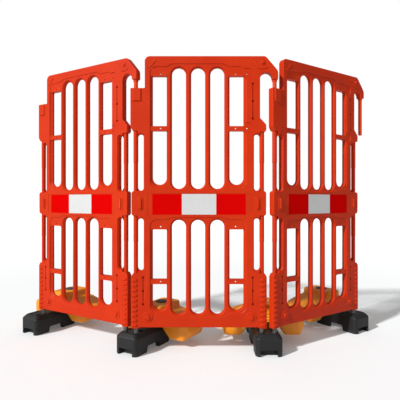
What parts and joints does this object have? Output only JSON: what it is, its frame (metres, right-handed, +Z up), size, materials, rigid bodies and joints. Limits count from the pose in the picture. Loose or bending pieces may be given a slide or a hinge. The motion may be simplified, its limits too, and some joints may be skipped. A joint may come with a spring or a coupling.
{
  "type": "hooked safety barrier run",
  "caption": "Tall hooked plastic safety barrier panels with reflective bands, standing in rubber feet held down by ballast tanks.",
  "frame": {"origin": "on the ground, at the middle of the whole run's plan", "axes": "+X along the middle panel from its socket to its hook, +Y to the side where the feet are long, +Z up"},
  "size_m": [3.0652, 1.2302, 2.206],
  "materials": {
    "orange_moulding": "fine moulded grain",
    "white_sheeting": "retroreflective sheeting",
    "red_sheeting": "retroreflective sheeting",
    "pin_steel": "galvanised",
    "foot_rubber": "satin recycled rubber",
    "tank_plastic": "rotomoulded satin",
    "cap_plastic": "satin",
    "seal_rubber": "smooth"
  },
  "bodies": {
    "centre_bay": {"centre_panel": "orange_moulding", "centre_white_sheets": "white_sheeting", "centre_red_sheets": "red_sheeting", "centre_ground_pins": "pin_steel", "right_joint_foot": "foot_rubber"},
    "left_joint_stand": {"left_joint_foot": "foot_rubber"},
    "left_bay": {"left_panel": "orange_moulding", "left_white_sheets": "white_sheeting", "left_red_sheets": "red_sheeting", "left_ground_pins": "pin_steel"},
    "left_end_stand": {"left_end_foot": "foot_rubber"},
    "right_bay": {"right_panel": "orange_moulding", "right_white_sheets": "white_sheeting", "right_red_sheets": "red_sheeting", "right_ground_pins": "pin_steel"},
    "right_end_stand": {"right_end_foot": "foot_rubber"},
    "left_end_tank": {"left_end_ballast": "tank_plastic"},
    "left_end_lid": {"left_end_cap": "cap_plastic", "left_end_seal": "seal_rubber"},
    "left_joint_tank": {"left_joint_ballast": "tank_plastic"},
    "left_joint_lid": {"left_joint_cap": "cap_plastic", "left_joint_seal": "seal_rubber"},
    "right_joint_tank": {"right_joint_ballast": "tank_plastic"},
    "right_joint_lid": {"right_joint_cap": "cap_plastic", "right_joint_seal": "seal_rubber"},
    "right_end_tank": {"right_end_ballast": "tank_plastic"},
    "right_end_lid": {"right_end_cap": "cap_plastic", "right_end_seal": "seal_rubber"}
  },
  "joints": [
    {"name": "left_hinge", "type": "hinge", "parent": "centre_bay", "child": "left_joint_stand", "pos_m": [-0.43629, -0.54427, 0], "axis": [0, 0, 1], "range_deg": [-5.1, 75.9]},
    {"name": "left_panel_lift", "type": "slide", "parent": "left_joint_stand", "child": "left_bay", "axis": [0, 0, 1], "range_m": [0, 0.34]},
    {"name": "left_end_foot_swivel", "type": "hinge", "parent": "left_joint_stand", "child": "left_end_stand", "pos_m": [-1.31924, -0.01583, 0], "axis": [0, 0, 1], "range_deg": [-20, 20]},
    {"name": "right_hinge", "type": "hinge", "parent": "centre_bay", "child": "right_bay", "pos_m": [0.59271, -0.54427, 0], "axis": [0, 0, 1], "range_deg": [-78.8, 2.2]},
    {"name": "right_end_foot_swivel", "type": "hinge", "parent": "right_bay", "child": "right_end_stand", "pos_m": [1.36885, -0.02469, 0], "axis": [0, 0, 1], "range_deg": [-20, 20]},
    {"name": "left_end_ballast_lift", "type": "slide", "parent": "left_end_stand", "child": "left_end_tank", "axis": [0, 0, 1], "range_m": [0, 0.3]},
    {"name": "left_end_cap_turn", "type": "hinge", "parent": "left_end_tank", "child": "left_end_lid", "pos_m": [-1.18796, 0.29601, 0.305], "axis": [0, 0, 1], "continuous": true},
    {"name": "left_joint_ballast_lift", "type": "slide", "parent": "left_joint_stand", "child": "left_joint_tank", "axis": [0, 0, 1], "range_m": [0, 0.3]},
    {"name": "left_joint_cap_turn", "type": "hinge", "parent": "left_joint_tank", "child": "left_joint_lid", "pos_m": [-0.2778, -0.18695, 0.305], "axis": [0, 0, 1], "continuous": true},
    {"name": "right_joint_ballast_lift", "type": "slide", "parent": "centre_bay", "child": "right_joint_tank", "axis": [0, 0, 1], "range_m": [0, 0.3]},
    {"name": "right_joint_cap_turn", "type": "hinge", "parent": "right_joint_tank", "child": "right_joint_lid", "pos_m": [0.54521, -0.15627, 0.305], "axis": [0, 0, 1], "continuous": true},
    {"name": "right_end_ballast_lift", "type": "slide", "parent": "right_end_stand", "child": "right_end_tank", "axis": [0, 0, 1], "range_m": [0, 0.3]},
    {"name": "right_end_cap_turn", "type": "hinge", "parent": "right_end_tank", "child": "right_end_lid", "pos_m": [1.19247, 0.32416, 0.305], "axis": [0, 0, 1], "continuous": true}
  ]
}
